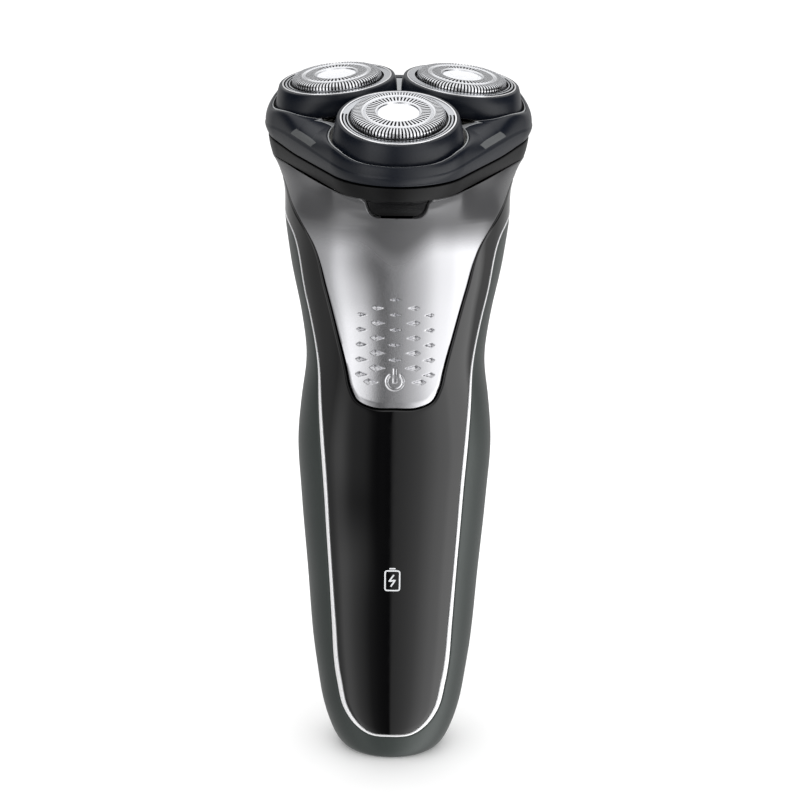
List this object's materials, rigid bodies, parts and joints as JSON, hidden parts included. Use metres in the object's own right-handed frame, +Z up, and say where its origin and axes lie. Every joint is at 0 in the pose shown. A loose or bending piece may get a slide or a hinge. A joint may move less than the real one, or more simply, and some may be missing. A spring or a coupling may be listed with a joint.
{
  "type": "electric shaver",
  "caption": "Cordless rotary shaver: tapered handle with a power tongue, and a flip-up shaving unit with floating round foils over spinning cutters.",
  "frame": {"origin": "on the flat of the base, in the plane of symmetry", "axes": "+Z up the handle, +Y towards the back, +X to the right seen from the front"},
  "size_m": [0.0616, 0.0615, 0.1662],
  "materials": {
    "shell_olive": "satin",
    "gloss_black": "high gloss",
    "trim_silver": "bright plated",
    "satin_silver": "satin metallised plastic",
    "cover_black": "satin",
    "band_black": "satin",
    "centre_grey": "satin",
    "foil_steel": "polished",
    "dark_steel": "dark plated",
    "nylon_white": "moulded",
    "chassis_grey": "moulded",
    "board_green": "solder mask",
    "cell_blue": "sleeved",
    "motor_steel": "plated can",
    "seal_rubber": "matte",
    "brass": "machined",
    "steel": "bright",
    "lens_white": "diffusing",
    "switch_black": "moulded"
  },
  "bodies": {
    "handle": {"rear_shell": "shell_olive", "front_panel": "gloss_black", "trim_strip": "trim_silver", "neck_shell": "satin_silver", "hinge_pin": "steel", "inner_frame": "chassis_grey", "battery_cell": "cell_blue", "battery_tab_top": "steel", "battery_tab_bottom": "steel", "circuit_board": "board_green", "power_switch": "switch_black", "charge_led": "lens_white", "indicator_lens": "lens_white", "charging_socket": "steel", "socket_tongue": "seal_rubber", "motor": "motor_steel", "gear_housing": "nylon_white", "coupling_deck": "band_black", "deck_screw_1": "steel", "deck_screw_2": "steel", "deck_screw_3": "steel", "spindle_seal_front": "seal_rubber", "spindle_seal_right": "seal_rubber", "spindle_seal_left": "seal_rubber"},
    "shaving_unit": {"unit_base": "band_black", "head_cover": "cover_black", "centre_plate": "centre_grey", "cutter_retainer": "nylon_white"},
    "tongue": {"power_tongue": "satin_silver"},
    "latch_button": {"release_button": "band_black"},
    "pinion": {"motor_shaft": "steel", "drive_pinion": "brass"},
    "spindle_front": {"spindle_gear_front": "nylon_white", "spindle_shaft_front": "steel"},
    "head_front": {"dome_front": "cover_black"},
    "foil_front": {"foil_guard_front": "dark_steel", "shaving_foil_front": "foil_steel"},
    "cutter_front": {"inner_cutter_front": "steel", "cutter_hub_front": "nylon_white"},
    "spindle_right": {"spindle_gear_right": "nylon_white", "spindle_shaft_right": "steel"},
    "head_right": {"dome_right": "cover_black"},
    "foil_right": {"foil_guard_right": "dark_steel", "shaving_foil_right": "foil_steel"},
    "cutter_right": {"inner_cutter_right": "steel", "cutter_hub_right": "nylon_white"},
    "spindle_left": {"spindle_gear_left": "nylon_white", "spindle_shaft_left": "steel"},
    "head_left": {"dome_left": "cover_black"},
    "foil_left": {"foil_guard_left": "dark_steel", "shaving_foil_left": "foil_steel"},
    "cutter_left": {"inner_cutter_left": "steel", "cutter_hub_left": "nylon_white"}
  },
  "joints": [
    {"name": "unit_hinge", "type": "hinge", "parent": "handle", "child": "shaving_unit", "pos_m": [0, 0.02798, 0.15006], "axis": [-1, 0, 0], "range_deg": [0, 95]},
    {"name": "power_press", "type": "hinge", "parent": "handle", "child": "tongue", "pos_m": [0, -0.0192, 0.118], "axis": [1, 0, 0], "range_deg": [0, 2], "stiffness_Nm_per_rad": 1, "springref_deg": -1.15},
    {"name": "release_press", "type": "slide", "parent": "handle", "child": "latch_button", "axis": [0, 1, 0], "range_m": [0, 0.001], "stiffness_N_per_m": 500, "springref_m": -0.001},
    {"name": "pinion_spin", "type": "hinge", "parent": "handle", "child": "pinion", "pos_m": [0, 0.0024, 0.1443], "axis": [0, -0.2756, 0.9613], "continuous": true},
    {"name": "spindle_spin_front", "type": "hinge", "parent": "handle", "child": "spindle_front", "pos_m": [0, -0.01353, 0.13973], "axis": [0, -0.2756, 0.9613], "continuous": true},
    {"name": "spindle_spin_right", "type": "hinge", "parent": "handle", "child": "spindle_right", "pos_m": [0.01435, 0.01036, 0.14658], "axis": [0, -0.2756, 0.9613], "continuous": true},
    {"name": "spindle_spin_left", "type": "hinge", "parent": "handle", "child": "spindle_left", "pos_m": [-0.01435, 0.01036, 0.14658], "axis": [0, -0.2756, 0.9613], "continuous": true},
    {"name": "head_tilt_front", "type": "hinge", "parent": "shaving_unit", "child": "head_front", "pos_m": [0, -0.01728, 0.15365], "axis": [1, 0, 0], "range_deg": [-3.5, 3.5], "stiffness_Nm_per_rad": 0.4},
    {"name": "foil_float_front", "type": "slide", "parent": "head_front", "child": "foil_front", "axis": [0, 0.3827, -0.9239], "range_m": [0, 0.001], "stiffness_N_per_m": 300, "springref_m": -0.002},
    {"name": "cutter_spin_front", "type": "hinge", "parent": "foil_front", "child": "cutter_front", "pos_m": [0, -0.01805, 0.1555], "axis": [0, -0.3827, 0.9239], "continuous": true},
    {"name": "head_tilt_right", "type": "hinge", "parent": "shaving_unit", "child": "head_right", "pos_m": [0.01415, 0.00628, 0.16041], "axis": [-0.5, 0.8325, 0.2387], "range_deg": [-3.5, 3.5], "stiffness_Nm_per_rad": 0.4},
    {"name": "foil_float_right", "type": "slide", "parent": "head_right", "child": "foil_right", "axis": [-0.098, 0.2195, -0.9707], "range_m": [0, 0.001], "stiffness_N_per_m": 300, "springref_m": -0.002},
    {"name": "cutter_spin_right", "type": "hinge", "parent": "foil_right", "child": "cutter_right", "pos_m": [0.01435, 0.00584, 0.16235], "axis": [0.098, -0.2195, 0.9707], "continuous": true},
    {"name": "head_tilt_left", "type": "hinge", "parent": "shaving_unit", "child": "head_left", "pos_m": [-0.01415, 0.00628, 0.16041], "axis": [-0.5, -0.8325, -0.2387], "range_deg": [-3.5, 3.5], "stiffness_Nm_per_rad": 0.4},
    {"name": "foil_float_left", "type": "slide", "parent": "head_left", "child": "foil_left", "axis": [0.098, 0.2195, -0.9707], "range_m": [0, 0.001], "stiffness_N_per_m": 300, "springref_m": -0.002},
    {"name": "cutter_spin_left", "type": "hinge", "parent": "foil_left", "child": "cutter_left", "pos_m": [-0.01435, 0.00584, 0.16235], "axis": [-0.098, -0.2195, 0.9707], "continuous": true}
  ],
  "couplings": [
    {"joint": "spindle_spin_front", "follows": "pinion_spin", "ratio": -0.625},
    {"joint": "spindle_spin_right", "follows": "pinion_spin", "ratio": -0.625},
    {"joint": "spindle_spin_left", "follows": "pinion_spin", "ratio": -0.625},
    {"joint": "cutter_spin_front", "follows": "pinion_spin", "ratio": -0.625},
    {"joint": "cutter_spin_right", "follows": "pinion_spin", "ratio": -0.625},
    {"joint": "cutter_spin_left", "follows": "pinion_spin", "ratio": -0.625}
  ]
}
